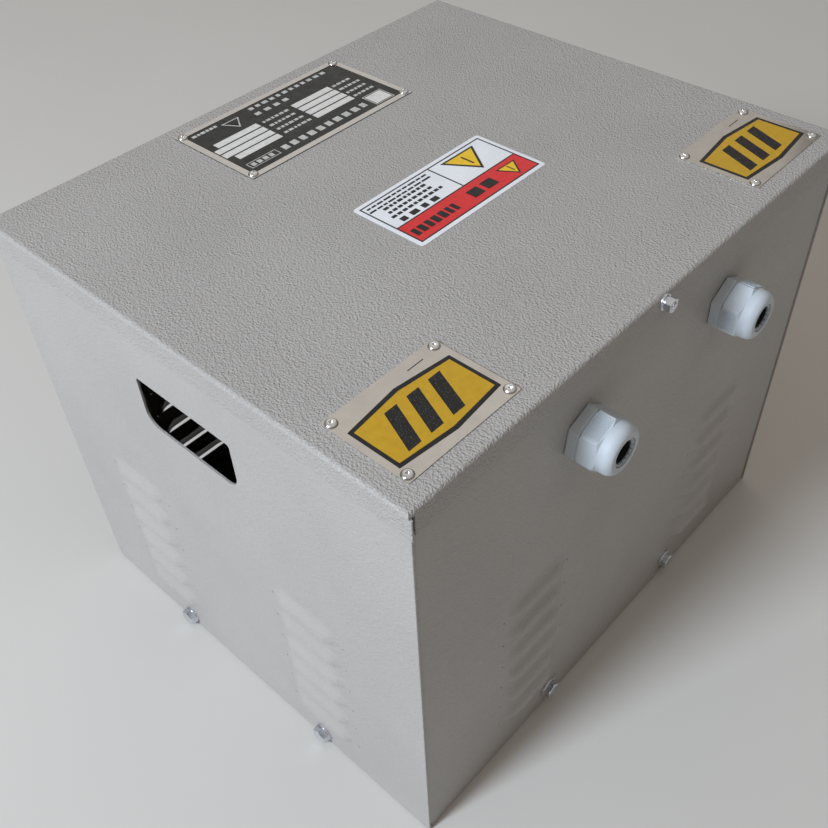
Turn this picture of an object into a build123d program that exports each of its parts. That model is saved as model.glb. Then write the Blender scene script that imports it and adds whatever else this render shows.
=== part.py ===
from build123d import *
import os
from math import cos, radians, sin

# Sheet-steel cased dry-type transformer.
# Origin: centre of the base tray's underside. +Z up, -Y is the cable-entry face.
# All sizes in millimetres.

os.makedirs("parts", exist_ok=True)

# ---------------------------------------------------------------- driving dimensions
# Case
case_w = 360.0
case_d = 305.0
case_h = 290.0
sheet = 1.2
wall_bottom = 0.8
wall_bend = 2.0
wall_top_gap = 0.3
return_depth = 14.0
corner_depth = 2.5
corner_bottom = 3.5
edge_proud = 0.8
edge_drop = 0.6
edge_round = 0.5

# Lid tray
lid_gap = 0.4
lid_flange = 14.5
lid_bend = 2.2
corner_slit = 2.2
lid_edge_round = 0.4
flange_proud = 1.4

# Base tray
tray_sheet = 2.0
tray_gap = 0.3
tray_flange = 24.0
tray_bend = 3.0
anchor_x = 300.0
anchor_y = 240.0
anchor_r = 4.5

# Louvres
louvre_length = 54.0
louvre_rise = 12.5
louvre_depth = 3.8
louvre_rows = 6
relief_r = 0.7
end_rows_z = 34.4
end_pitch = 21.4
end_bank_x = (-89.0, 93.5)
side_rows_z = 30.8
side_pitch = 21.1
side_bank_x = (-74.9, 71.1)

# Hand holes in the two side panels
hand_w = 73.0
hand_h = 32.0
hand_x = -1.0
hand_z = 229.5
hand_r_top = 2.0
hand_r_low = 9.0

# M6 hood bolts
side_bolt_y = (-65.5, 65.5)
side_bolt_z = 7.5
end_bolt_x = (-67.5, 64.5)
end_bolt_z = 15.5
bolt_r = 3.0
bolt_slot_r = 3.3
bolt_af = 10.0
bolt_head = 4.0
bolt_chamfer_z = 3.0
bolt_corner_r = 6.2
bolt_face_r = 4.6
bolt_length = 12.0
washer_r = 6.3
washer_bore_r = 3.2
washer_t = 1.3
washer_round = 0.25
washer_gap = 0.1
clinch_r = 4.4
clinch_t = 5.0
thread_fit = 0.05

# Cable glands (PG16 size)
gland_x = (-62.4, 64.1)
gland_z = 243.2
gland_turn = (22.5, 92.5)
gland_af = 27.0
gland_gasket = 0.4
gland_gasket_r = 13.0
gland_flange = 5.6
gland_chamfer = 0.6
gland_thread_r = 11.2
gland_hole_r = 11.5
gland_inside = 10.0
gland_bore_r = 6.6
locknut_t = 4.5
locknut_bore_r = 11.3
spigot_r = 10.2
spigot_end = 15.5
claw_base_r = 9.0
claw_tip_r = 7.7
claw_end = 23.3
claw_slots = 16
claw_slot_w = 0.7
seal_r = 6.55
seal_bore_r = 5.6
seal_start = 9.0
seal_end = 22.4
nut_af = 27.0
nut_corner_r = 15.4
nut_start = 6.3
nut_skirt = 0.8
nut_hex_end = 16.4
nut_hex_chamfer = 0.8
nut_round_r = 13.8
nut_round_start = 17.0
nut_dome_start = 19.5
nut_end = 24.0
nut_rim_r = 10.8
nut_mouth_r = 8.1
nut_mouth_start = 22.9
nut_clear = 0.4
rib_count = 13
rib_pitch = 1.0
rib_w = 0.45
rib_rise = 0.4
rib_length = 8.2

# Earth terminal (M4)
earth_x = -5.5
earth_z = 285.2
earth_r = 2.0
earth_hole_r = 2.25
earth_af = 7.0
earth_chamfer = 0.4
earth_head_r = 3.4
earth_head_t = 2.6
earth_head_round = 1.0
earth_washer_r = 4.3
earth_washer_t = 0.9
split_washer_r = 3.4
split_washer_t = 1.0
split_w = 0.5
earth_nut_t = 3.2
earth_thread_end = 0.8

# Plates and label on the lid
nameplate_w = 129.0
nameplate_d = 70.0
nameplate_at = (1.4, 107.2)
nameplate_rim = 4.0
mark_w = 70.0
mark_d = 50.0
mark_at = ((-134.8, -118.4), (135.4, -118.0))
mark_rivets_x = 63.4
mark_rivets_y = 42.8
label_w = 101.0
label_d = 50.0
label_at = (0.4, -17.2)
plate_t = 0.6
label_t = 0.2
plate_corner_r = 1.0
label_corner_r = 2.0
nameplate_recess = 0.2
nameplate_recess_r = 3.0
nameplate_rivet_in = 3.5
rivet_r = 1.6
rivet_shank_r = 1.58
rivet_head_r = 3.1
rivet_head_t = 1.2
rivet_crown_r = 1.6
rivet_hollow_r = 1.0
rivet_hollow = 0.9
rivet_bulb_r = 2.3
rivet_bulb = 0.6
rivet_tail = 2.4

# Three-limb laminated core and its coils
core_bottom = 16.0
limb_w = 38.0
window_w = 44.0
window_h = 118.0
yoke_h = 38.0
stack = 60.0
bobbin_gap = 0.5
bobbin_t = 2.0
bobbin_h = 116.0
bobbin_rim = 1.2
bobbin_corner = 0.5
lv_build = 7.0
lv_corner = 3.0
hv_build = 8.0
hv_corner = 5.0
layer_gap = 0.6
winding_gap = 0.5
inner_corner_min = 0.2

# Core clamps, bolts and feet
clamp_t = 3.0
clamp_h = 34.0
clamp_leg = 26.0
clamp_l = 214.0
core_bolt_r = 3.0
core_bolt_x = 91.0
core_bolt_end = 9.0
core_nut_t = 5.0
bolt_hole_fit = 0.4
foot_x = 92.0
foot_in = 12.0
foot_stud_r = 4.0
foot_stud_end = 11.0
foot_hole_fit = 0.5
pad_r = 11.5
pad_fit = 0.3
foot_washer_r = 8.0
foot_washer_t = 1.6
foot_nut_af = 13.0
foot_nut_t = 6.5

# Terminal board and leads
board_l = 208.0
board_d = 44.0
board_t = 8.0
board_z = 232.0
board_y = -52.0
board_corner_r = 3.0
screw_head_r = 4.5
screw_head_t = 3.0
screw_head_round = 1.5
terminal_pitch = 26.0
terminal_count = 7
terminal_back = 6.0
terminal_r = 2.5
terminal_fit = 0.1
terminal_af = 8.0
terminal_nut_t = 4.0
terminal_below = 9.0
terminal_above = 16.0
lead_r = 1.8
lead_out = 16.0
lead_rise = 40.0
lead_under = 2.0
lead_bend = 3.4
lead_side = 10.0

# ---------------------------------------------------------------- derived dimensions
lid_w = case_w + 2 * (sheet + lid_gap)
lid_d = case_d + 2 * (sheet + lid_gap)
lid_bottom = case_h - lid_flange
wall_top = case_h - sheet - wall_top_gap
tray_w = case_w - 2 * sheet - 2 * tray_gap
tray_d = case_d - 2 * sheet - 2 * tray_gap
return_bottom = tray_flange + 2.0
pitch = limb_w + window_w
core_w = 3 * limb_w + 2 * window_w
core_h = window_h + 2 * yoke_h
window_z = core_bottom + yoke_h
core_top = core_bottom + core_h
coil_mid_z = window_z + window_h / 2
limb_x = (-pitch, 0.0, pitch)
louvre_straight = louvre_length / 2 - louvre_rise


def finish(piece, name):
    """Label one sub-part and write its STEP file."""
    piece.part.label = name
    export_step(piece.part, f"parts/{name}.step")


def bank(centres, first_z, row_pitch, face_y):
    """Places of the louvres of one wall: every row of every bank."""
    return [(x, face_y, first_z + row * row_pitch) for x in centres for row in range(louvre_rows)]


def rect_points(width, depth, centre=(0, 0)):
    """The four corners of a rectangle about a centre."""
    cx, cy = centre
    return [(cx + sx * width / 2, cy + sy * depth / 2) for sx in (-1, 1) for sy in (-1, 1)]


# ---------------------------------------------------------------- one louvre
# Its slit lies on the local X axis, it bulges towards -Y and rises along +Z.
with BuildPart() as louvre:
    with BuildSketch(Plane.YZ) as louvre_section:
        with BuildLine():
            # Outer and inner skins: flat with the wall at the top, upright again at the lip.
            for skin_y in (0, sheet):
                middle = (skin_y - louvre_depth / 2, louvre_rise / 2)
                TangentArc((skin_y - louvre_depth, 0), middle, tangent=(0, 1))
                TangentArc((skin_y, louvre_rise), middle, tangent=(0, -1))
            Line((-louvre_depth, 0), (sheet - louvre_depth, 0))
            Line((0, louvre_rise), (sheet, louvre_rise))
        make_face()
    extrude(amount=louvre_straight, both=True)
    with BuildSketch(Plane.YZ.offset(louvre_straight)) as right_end:
        add(louvre_section.sketch_local)
    revolve(axis=Axis((louvre_straight, 0, 0), (0, 1, 0)), revolution_arc=90)
    mirror(about=Plane.YZ)

with BuildPart() as louvre_hole:
    with BuildSketch(Plane.XZ.offset(-sheet)):
        SlotCenterToCenter(2 * louvre_straight, 2 * louvre_rise)
        with Locations((0, -louvre_rise)):
            Rectangle(2 * louvre_length, 2 * louvre_rise, mode=Mode.SUBTRACT)
        with Locations((-louvre_length / 2, 0), (louvre_length / 2, 0)):
            Circle(relief_r)
    extrude(amount=sheet)


# ---------------------------------------------------------------- lid tray
stud_plane = Plane(origin=(earth_x, -lid_d / 2, earth_z), z_dir=(0, -1, 0))

nameplate_rivets_at = rect_points(
    nameplate_w - 2 * nameplate_rivet_in, nameplate_d - 2 * nameplate_rivet_in, nameplate_at
)
mark_rivets_at = [p for at in mark_at for p in rect_points(mark_rivets_x, mark_rivets_y, at)]

with BuildPart() as lid_tray:
    with BuildSketch(Plane.XY.offset(lid_bottom)):
        Rectangle(lid_w, lid_d)
    extrude(amount=lid_flange)
    fillet(lid_tray.faces().sort_by(Axis.Z)[-1].edges(), radius=lid_bend)
    offset(amount=-sheet, openings=lid_tray.faces().sort_by(Axis.Z)[0])
    fillet(lid_tray.faces().sort_by(Axis.Z)[0].outer_wire().edges(), radius=lid_edge_round)
    # Slit beside each end flange, where the sheet was notched before bending.
    slit_h = lid_flange - lid_bend
    slit_x = lid_w - 2 * sheet - corner_slit
    with Locations((0, 0, lid_bottom + slit_h / 2)):
        with GridLocations(slit_x, lid_d - sheet, 2, 2):
            Box(corner_slit, 2 * sheet, slit_h, mode=Mode.SUBTRACT)
        # The side flanges run a little past the end flanges.
        with GridLocations(lid_w - sheet, lid_d, 2, 2):
            Box(sheet, 2 * flange_proud, slit_h)
    raw_ends = lid_tray.edges().filter_by(Axis.Z).group_by(Axis.Y)
    fillet(raw_ends[0] + raw_ends[-1], radius=edge_round)
    with BuildSketch(Plane.XY.offset(case_h)):
        with Locations(*nameplate_rivets_at, *mark_rivets_at):
            Circle(rivet_r)
    extrude(amount=-2 * sheet, mode=Mode.SUBTRACT)
    with BuildSketch(stud_plane):
        Circle(earth_hole_r)
    extrude(amount=-2 * sheet, mode=Mode.SUBTRACT)
finish(lid_tray, "lid_tray")

# ---------------------------------------------------------------- front and rear panels
# Both are folded blanks whose short return flanges lie inside the side panels.
end_face_y = -case_d / 2
end_w = case_w - 2 * sheet

with BuildPart() as end_panel:
    # Beside the base tray the returns are cut back to little more than the bend.
    folds = ((return_bottom, wall_top, return_depth), (corner_bottom, return_bottom, corner_depth))
    for fold_low, fold_high, fold_depth in folds:
        with BuildSketch(Plane.XY.offset(fold_low)):
            with BuildLine():
                FilletPolyline(
                    (-end_w / 2, end_face_y + fold_depth),
                    (-end_w / 2, end_face_y),
                    (end_w / 2, end_face_y),
                    (end_w / 2, end_face_y + fold_depth),
                    radius=wall_bend,
                )
                offset(amount=sheet, side=Side.LEFT)
            make_face()
        extrude(amount=fold_high - fold_low)
    with BuildSketch(Plane.XY.offset(wall_bottom)):
        with Locations((0, end_face_y + sheet / 2)):
            Rectangle(end_w - 2 * wall_bend, sheet)
    extrude(amount=corner_bottom - wall_bottom)
    louvres_at = bank(end_bank_x, end_rows_z, end_pitch, end_face_y)
    with Locations(*louvres_at):
        add(louvre_hole.part, mode=Mode.SUBTRACT)
    with Locations(*louvres_at):
        add(louvre.part)
    # Open-ended slots let the hood lift off once its bolts are slack.
    with BuildSketch(Plane.XZ.offset(-end_face_y)):
        with Locations(*[(x, end_bolt_z) for x in end_bolt_x]):
            Circle(bolt_slot_r)
            with Locations((0, -end_bolt_z / 2)):
                Rectangle(2 * bolt_slot_r, end_bolt_z)
    extrude(amount=-2 * sheet, mode=Mode.SUBTRACT)

with BuildPart() as rear_panel:
    add(end_panel.part, rotation=(0, 0, 180))
finish(rear_panel, "rear_panel")

with BuildPart() as front_panel:
    add(end_panel.part)
    with BuildSketch(Plane.XZ.offset(-end_face_y)):
        with Locations(*[(x, gland_z) for x in gland_x]):
            Circle(gland_hole_r)
        with Locations((earth_x, earth_z)):
            Circle(earth_hole_r)
    extrude(amount=-2 * sheet, mode=Mode.SUBTRACT)
finish(front_panel, "front_panel")

# ---------------------------------------------------------------- left and right panels
side_face_y = -case_w / 2

with BuildPart() as side_panel:
    with BuildSketch(Plane.XY.offset(wall_bottom)):
        with Locations((0, side_face_y + sheet / 2)):
            Rectangle(case_d, sheet)
    extrude(amount=wall_top - wall_bottom)
    # Below the lid the raw upright edges stand a little past the end panels.
    with BuildSketch(Plane.XY.offset(wall_bottom)):
        with Locations((0, side_face_y + sheet / 2)):
            Rectangle(case_d + 2 * edge_proud, sheet)
    extrude(amount=lid_bottom - edge_drop - wall_bottom)
    upright = side_panel.edges().filter_by(Axis.Z).group_by(Axis.X)
    fillet([upright[0].sort_by(Axis.Y)[0], upright[-1].sort_by(Axis.Y)[0]], radius=edge_round)
    louvres_at = bank(side_bank_x, side_rows_z, side_pitch, side_face_y)
    with Locations(*louvres_at):
        add(louvre_hole.part, mode=Mode.SUBTRACT)
    with Locations(*louvres_at):
        add(louvre.part)
    with BuildSketch(Plane.XZ.offset(-side_face_y)) as hand_outline:
        with Locations((hand_x, hand_z)):
            Rectangle(hand_w, hand_h)
        fillet(hand_outline.vertices().group_by(Axis.Y)[-1], radius=hand_r_top)
        fillet(hand_outline.vertices().group_by(Axis.Y)[0], radius=hand_r_low)
    extrude(amount=-2 * sheet, mode=Mode.SUBTRACT)
    with BuildSketch(Plane.XZ.offset(-side_face_y)):
        with Locations(*[(y, side_bolt_z) for y in side_bolt_y]):
            Circle(bolt_slot_r)
            with Locations((0, -side_bolt_z / 2)):
                Rectangle(2 * bolt_slot_r, side_bolt_z)
    extrude(amount=-2 * sheet, mode=Mode.SUBTRACT)

for side_name, turn in (("left_panel", -90), ("right_panel", 90)):
    with BuildPart() as turned_panel:
        add(side_panel.part, rotation=(0, 0, turn))
    finish(turned_panel, side_name)

# Hood bolt stations: one plane per bolt on the outer face of its wall.
end_bolts = [
    Plane(origin=(-side * x, side * case_d / 2, end_bolt_z), z_dir=(0, side, 0))
    for side in (-1, 1)
    for x in end_bolt_x
]
side_bolts = [
    Plane(origin=(side * case_w / 2, y, side_bolt_z), z_dir=(side, 0, 0))
    for side in (-1, 1)
    for y in side_bolt_y
]

# ---------------------------------------------------------------- base tray
with BuildPart() as base_tray:
    with BuildSketch():
        Rectangle(tray_w, tray_d)
    extrude(amount=tray_flange)
    fillet(base_tray.faces().sort_by(Axis.Z)[0].edges(), radius=tray_bend)
    offset(amount=-tray_sheet, openings=base_tray.faces().sort_by(Axis.Z)[-1])
    # Notched corners between the upturned flanges.
    notch_h = tray_flange - tray_bend
    with Locations((0, 0, tray_bend + notch_h / 2)):
        with GridLocations(tray_w, tray_d, 2, 2):
            Box(2 * tray_bend, 2 * tray_bend, notch_h, mode=Mode.SUBTRACT)
    with GridLocations(anchor_x, anchor_y, 2, 2):
        Hole(anchor_r)
    for station in end_bolts + side_bolts:
        with BuildSketch(station):
            Circle(bolt_slot_r)
        extrude(amount=-3 * tray_sheet, mode=Mode.SUBTRACT)
finish(base_tray, "base_tray")

# One M6 hexagon bolt, its washer and its clinch nut, all with the wall's outer face at Z = 0.
head_bottom = washer_gap + washer_t

with BuildPart() as bolt:
    with BuildSketch(Plane.XY.offset(head_bottom)):
        RegularPolygon(radius=bolt_af / 2, side_count=6, major_radius=False)
    extrude(amount=bolt_head)
    with BuildSketch(Plane.XZ):
        with BuildLine():
            Polyline(
                (0, head_bottom),
                (bolt_corner_r, head_bottom),
                (bolt_corner_r, head_bottom + bolt_chamfer_z),
                (bolt_face_r, head_bottom + bolt_head),
                (0, head_bottom + bolt_head),
                close=True,
            )
        make_face()
    revolve(axis=Axis.Z, mode=Mode.INTERSECT)
    with BuildSketch(Plane.XY.offset(head_bottom)):
        Circle(bolt_r)
    extrude(amount=-bolt_length)

with BuildPart() as bolt_washer:
    with BuildSketch(Plane.XY.offset(washer_gap)):
        Circle(washer_r)
        Circle(washer_bore_r, mode=Mode.SUBTRACT)
    extrude(amount=washer_t)
    fillet(bolt_washer.edges().sort_by(Axis.Z)[-2:], radius=washer_round)

with BuildPart() as clinch_nut:
    with BuildSketch(Plane.XY.offset(-sheet - tray_gap - tray_sheet)):
        Circle(clinch_r)
        Circle(bolt_r + thread_fit, mode=Mode.SUBTRACT)
    extrude(amount=-clinch_t)

for master, name in ((bolt, "hood_bolts"), (bolt_washer, "hood_bolt_washers"), (clinch_nut, "clinch_nuts")):
    with BuildPart() as bolt_group:
        with Locations(*end_bolts, *side_bolts):
            add(master.part)
    finish(bolt_group, name)

# ---------------------------------------------------------------- cable glands
# Each gland is drawn along its own Z axis, which points out of the front panel.
with BuildPart() as gland_body:
    with BuildSketch(Plane.XY.offset(gland_gasket)):
        RegularPolygon(radius=gland_af / 2, side_count=6, major_radius=False)
    extrude(amount=gland_flange)
    chamfer(gland_body.edges().group_by(Axis.Z)[-1], length=gland_chamfer)
    # Threaded stub inside the case, spigot and claws outside it.
    with BuildSketch(Plane.XZ):
        with BuildLine():
            Polyline(
                (0, -gland_inside),
                (gland_thread_r, -gland_inside),
                (gland_thread_r, gland_gasket),
                (spigot_r, gland_gasket),
                (spigot_r, spigot_end),
                (claw_base_r, spigot_end),
                (claw_tip_r, claw_end),
                (0, claw_end),
                close=True,
            )
        make_face()
    revolve(axis=Axis.Z)
    with BuildSketch(Plane.XY.offset(claw_end)):
        Circle(gland_bore_r)
    extrude(amount=-claw_end - gland_inside, mode=Mode.SUBTRACT)
    with Locations((0, 0, (spigot_end + claw_end) / 2)):
        with PolarLocations(claw_tip_r, claw_slots):
            Box(2 * (claw_base_r - gland_bore_r), claw_slot_w, claw_end - spigot_end, mode=Mode.SUBTRACT)

with BuildPart() as gland_gasket_ring:
    with BuildSketch():
        Circle(gland_gasket_r)
        Circle(gland_hole_r, mode=Mode.SUBTRACT)
    extrude(amount=gland_gasket)

with BuildPart() as gland_locknut:
    with BuildSketch(Plane.XY.offset(-sheet)):
        RegularPolygon(radius=gland_af / 2, side_count=6, major_radius=False)
        Circle(locknut_bore_r, mode=Mode.SUBTRACT)
    extrude(amount=-locknut_t)

with BuildPart() as gland_seal:
    with BuildSketch(Plane.XY.offset(seal_start)):
        Circle(seal_r)
        Circle(seal_bore_r, mode=Mode.SUBTRACT)
    extrude(amount=seal_end - seal_start)

with BuildPart() as gland_nut:
    with BuildSketch(Plane.XY.offset(nut_start)):
        RegularPolygon(radius=nut_af / 2, side_count=6, major_radius=False)
    extrude(amount=nut_round_start - nut_start)
    # The hexagon's corners are chamfered at both ends.
    with BuildSketch(Plane.XZ):
        with BuildLine():
            Polyline(
                (0, nut_start),
                (nut_corner_r - nut_skirt, nut_start),
                (nut_corner_r, nut_start + nut_skirt),
                (nut_corner_r, nut_hex_end - nut_hex_chamfer),
                (nut_af / 2, nut_round_start),
                (0, nut_round_start),
                close=True,
            )
        make_face()
    revolve(axis=Axis.Z, mode=Mode.INTERSECT)
    # Round dome beyond the hexagon, ending in a flat rim.
    with BuildSketch(Plane.XZ):
        with BuildLine():
            shoulder = Polyline((0, nut_hex_end), (nut_round_r, nut_hex_end), (nut_round_r, nut_dome_start))
            dome = TangentArc(shoulder @ 1, (nut_rim_r, nut_end), tangent=(0, 1))
            Polyline(dome @ 1, (0, nut_end), (0, nut_hex_end))
        make_face()
    revolve(axis=Axis.Z)
    # Grip ribs on every other flat.
    with Locations((0, 0, nut_start + nut_skirt + rib_length / 2)):
        with PolarLocations(nut_af / 2, 3, start_angle=90):
            with GridLocations(1, rib_pitch, 1, rib_count):
                Box(2 * rib_rise, rib_w, rib_length)
    with BuildSketch(Plane.XZ):
        with BuildLine():
            Polyline(
                (0, nut_start),
                (spigot_r + nut_clear, nut_start),
                (spigot_r + nut_clear, spigot_end + nut_clear),
                (nut_mouth_r, nut_mouth_start),
                (nut_mouth_r, nut_end),
                (0, nut_end),
                close=True,
            )
        make_face()
    revolve(axis=Axis.Z, mode=Mode.SUBTRACT)

gland_stations = [
    Plane(
        origin=(x, end_face_y, gland_z),
        x_dir=(cos(radians(turn)), 0, sin(radians(turn))),
        z_dir=(0, -1, 0),
    )
    for x, turn in zip(gland_x, gland_turn)
]
gland_pieces = (
    (gland_body, "gland_body"),
    (gland_gasket_ring, "gland_gasket"),
    (gland_locknut, "gland_locknut"),
    (gland_seal, "gland_seal"),
    (gland_nut, "gland_dome_nut"),
)
for side_name, station in zip(("left", "right"), gland_stations):
    for master, name in gland_pieces:
        with BuildPart() as placed_piece:
            with Locations(station):
                add(master.part)
        finish(placed_piece, f"{side_name}_{name}")

# ---------------------------------------------------------------- earth terminal
# Drawn outwards from the lid flange: washer, split washer, nut and the end of the screw.
split_top = earth_washer_t + split_washer_t
earth_nut_bottom = split_top + washer_gap
earth_screw_end = earth_nut_bottom + earth_nut_t + earth_thread_end
earth_inside = lid_gap + 2 * sheet

with BuildPart() as earth_screw:
    with BuildSketch(stud_plane.offset(-earth_inside)):
        Circle(earth_r)
    extrude(amount=earth_inside + earth_screw_end)
    chamfer(earth_screw.edges().sort_by(Axis.Y)[0], length=earth_chamfer)
    with BuildSketch(stud_plane.offset(-earth_inside)):
        Circle(earth_head_r)
    extrude(amount=-earth_head_t)
    fillet(earth_screw.edges().sort_by(Axis.Y)[-1], radius=earth_head_round)
finish(earth_screw, "earth_screw")

with BuildPart() as earth_washer:
    with BuildSketch(stud_plane):
        Circle(earth_washer_r)
        Circle(earth_hole_r, mode=Mode.SUBTRACT)
    extrude(amount=earth_washer_t)
finish(earth_washer, "earth_washer")

with BuildPart() as earth_split_washer:
    with BuildSketch(stud_plane.offset(earth_washer_t)):
        Circle(split_washer_r)
        Circle(earth_hole_r, mode=Mode.SUBTRACT)
        with Locations((0, (split_washer_r + earth_hole_r) / 2)):
            Rectangle(split_w, 2 * (split_washer_r - earth_hole_r), rotation=20, mode=Mode.SUBTRACT)
    extrude(amount=split_washer_t)
finish(earth_split_washer, "earth_split_washer")

with BuildPart() as earth_nut:
    with BuildSketch(stud_plane.offset(earth_nut_bottom)):
        RegularPolygon(radius=earth_af / 2, side_count=6, major_radius=False)
        Circle(earth_r + thread_fit, mode=Mode.SUBTRACT)
    extrude(amount=earth_nut_t)
finish(earth_nut, "earth_nut")

# ---------------------------------------------------------------- plates, rivets and label
with BuildPart() as nameplate:
    with BuildSketch(Plane.XY.offset(case_h)):
        with Locations(nameplate_at):
            RectangleRounded(nameplate_w, nameplate_d, plate_corner_r)
        with Locations(*nameplate_rivets_at):
            Circle(rivet_r, mode=Mode.SUBTRACT)
    extrude(amount=plate_t)
    with BuildSketch(Plane.XY.offset(case_h + plate_t)):
        with Locations(nameplate_at):
            RectangleRounded(
                nameplate_w - 2 * nameplate_rim, nameplate_d - 2 * nameplate_rim, nameplate_recess_r
            )
    extrude(amount=-nameplate_recess, mode=Mode.SUBTRACT)
finish(nameplate, "nameplate")

for mark_name, centre in zip(("left_mark_plate", "right_mark_plate"), mark_at):
    with BuildPart() as mark_plate:
        with BuildSketch(Plane.XY.offset(case_h)):
            with Locations(centre):
                RectangleRounded(mark_w, mark_d, plate_corner_r)
            with Locations(*rect_points(mark_rivets_x, mark_rivets_y, centre)):
                Circle(rivet_r, mode=Mode.SUBTRACT)
        extrude(amount=plate_t)
    finish(mark_plate, mark_name)

with BuildPart() as caution_label:
    with BuildSketch(Plane.XY.offset(case_h)):
        with Locations(label_at):
            RectangleRounded(label_w, label_d, label_corner_r)
    extrude(amount=label_t)
finish(caution_label, "caution_label")

# Blind rivet: domed head with the mandrel's hollow, and an upset bulb under the lid.
rivet_top = plate_t + rivet_head_t
hollow_floor = rivet_top - rivet_hollow

with BuildPart() as rivet:
    with BuildSketch(Plane.XZ):
        with BuildLine():
            head = Polyline(
                (rivet_hollow_r, hollow_floor), (rivet_hollow_r, rivet_top), (rivet_crown_r, rivet_top)
            )
            crown = TangentArc(head @ 1, (rivet_head_r, plate_t), tangent=(1, 0))
            Polyline(
                crown @ 1,
                (rivet_shank_r, plate_t),
                (rivet_shank_r, -sheet),
                (rivet_bulb_r, -sheet - rivet_bulb),
                (rivet_shank_r, -sheet - rivet_tail),
                (0, -sheet - rivet_tail),
                (0, hollow_floor),
                (rivet_hollow_r, hollow_floor),
            )
        make_face()
    revolve(axis=Axis.Z)

for rivet_name, spots in (("nameplate_rivets", nameplate_rivets_at), ("mark_plate_rivets", mark_rivets_at)):
    with BuildPart() as rivet_group:
        with Locations(*[(x, y, case_h) for x, y in spots]):
            add(rivet.part)
    finish(rivet_group, rivet_name)

# ---------------------------------------------------------------- laminated core
with BuildPart() as core_e_stack:
    with BuildSketch(Plane.XZ.offset(-stack / 2)):
        with Locations((0, core_bottom + yoke_h / 2)):
            Rectangle(core_w, yoke_h)
        with Locations(*[(x, window_z + window_h / 2) for x in limb_x]):
            Rectangle(limb_w, window_h)
        with Locations((-core_bolt_x, core_bottom + yoke_h / 2), (core_bolt_x, core_bottom + yoke_h / 2)):
            Circle(core_bolt_r + bolt_hole_fit, mode=Mode.SUBTRACT)
    extrude(amount=stack)
finish(core_e_stack, "core_e_stack")

with BuildPart() as core_i_stack:
    with BuildSketch(Plane.XZ.offset(-stack / 2)):
        with Locations((0, core_top - yoke_h / 2)):
            Rectangle(core_w, yoke_h)
        with Locations((-core_bolt_x, core_top - yoke_h / 2), (core_bolt_x, core_top - yoke_h / 2)):
            Circle(core_bolt_r + bolt_hole_fit, mode=Mode.SUBTRACT)
    extrude(amount=stack)
finish(core_i_stack, "core_i_stack")

# ---------------------------------------------------------------- coils
# Rings around each limb, from the inside out: coil former, low-voltage, high-voltage winding.
former_in = bobbin_gap
former_out = former_in + bobbin_t
lv_in = former_out + layer_gap
lv_out = lv_in + lv_build
hv_in = lv_out + layer_gap
hv_out = hv_in + hv_build
former_rim = hv_out + bobbin_rim


def limb_ring(centre_x, inner_build, outer_build, height, corner):
    """A closed ring round one limb, between two distances from its faces."""
    with BuildPart() as ring:
        with BuildSketch(Plane.XY.offset(coil_mid_z - height / 2)):
            with Locations((centre_x, 0)):
                RectangleRounded(limb_w + 2 * outer_build, stack + 2 * outer_build, corner + outer_build / 2)
                RectangleRounded(
                    limb_w + 2 * inner_build,
                    stack + 2 * inner_build,
                    max(inner_corner_min, corner + inner_build / 2 - bobbin_t),
                    mode=Mode.SUBTRACT,
                )
        extrude(amount=height)
    return ring


winding_h = bobbin_h - 2 * bobbin_t - 2 * winding_gap
for coil_name, x in zip(("left", "middle", "right"), limb_x):
    with BuildPart() as coil_former:
        add(limb_ring(x, former_in, former_out, bobbin_h, bobbin_corner).part)
        rim = limb_ring(x, former_in, former_rim, bobbin_t, bobbin_corner).part
        rim_rise = (bobbin_h - bobbin_t) / 2
        with Locations((0, 0, -rim_rise), (0, 0, rim_rise)):
            add(rim)
    finish(coil_former, f"{coil_name}_coil_former")
    finish(limb_ring(x, lv_in, lv_out, winding_h, lv_corner), f"{coil_name}_lv_winding")
    finish(limb_ring(x, hv_in, hv_out, winding_h, hv_corner), f"{coil_name}_hv_winding")

# ---------------------------------------------------------------- core clamps and bolts
clamp_y = stack / 2
lower_clamp_z = core_bottom
upper_clamp_z = core_top - clamp_h
foot_y = clamp_y + clamp_leg - foot_in
bolt_rows_z = (core_bottom + yoke_h / 2, core_top - yoke_h / 2)


def clamp_angle(low_z, leg_z, bolt_z, leg_hole_r):
    """A steel angle against the front of a yoke, with its leg pointing outwards (-Y)."""
    with BuildPart() as angle:
        with BuildSketch(Plane.XZ.offset(clamp_y)):
            with Locations((0, low_z + clamp_h / 2)):
                Rectangle(clamp_l, clamp_h)
            with Locations((-core_bolt_x, bolt_z), (core_bolt_x, bolt_z)):
                Circle(core_bolt_r + bolt_hole_fit, mode=Mode.SUBTRACT)
        extrude(amount=clamp_t)
        with BuildSketch(Plane.XY.offset(leg_z)):
            with Locations((0, -clamp_y - clamp_leg / 2)):
                Rectangle(clamp_l, clamp_leg)
            with Locations((-foot_x, -foot_y), (foot_x, -foot_y)):
                Circle(leg_hole_r, mode=Mode.SUBTRACT)
        extrude(amount=clamp_t)
    return angle


lower_clamp = clamp_angle(lower_clamp_z, lower_clamp_z, bolt_rows_z[0], foot_stud_r + foot_hole_fit)
upper_clamp = clamp_angle(upper_clamp_z, core_top - clamp_t, bolt_rows_z[1], terminal_r + terminal_fit)
for clamp, level in ((lower_clamp, "lower"), (upper_clamp, "upper")):
    for side_name, turn in (("front", 0), ("rear", 180)):
        with BuildPart() as placed_clamp:
            add(clamp.part, rotation=(0, 0, turn))
        finish(placed_clamp, f"{side_name}_{level}_clamp")

bolt_reach = clamp_y + clamp_t
core_bolt_spots = [(x, z) for x in (-core_bolt_x, core_bolt_x) for z in bolt_rows_z]

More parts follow.
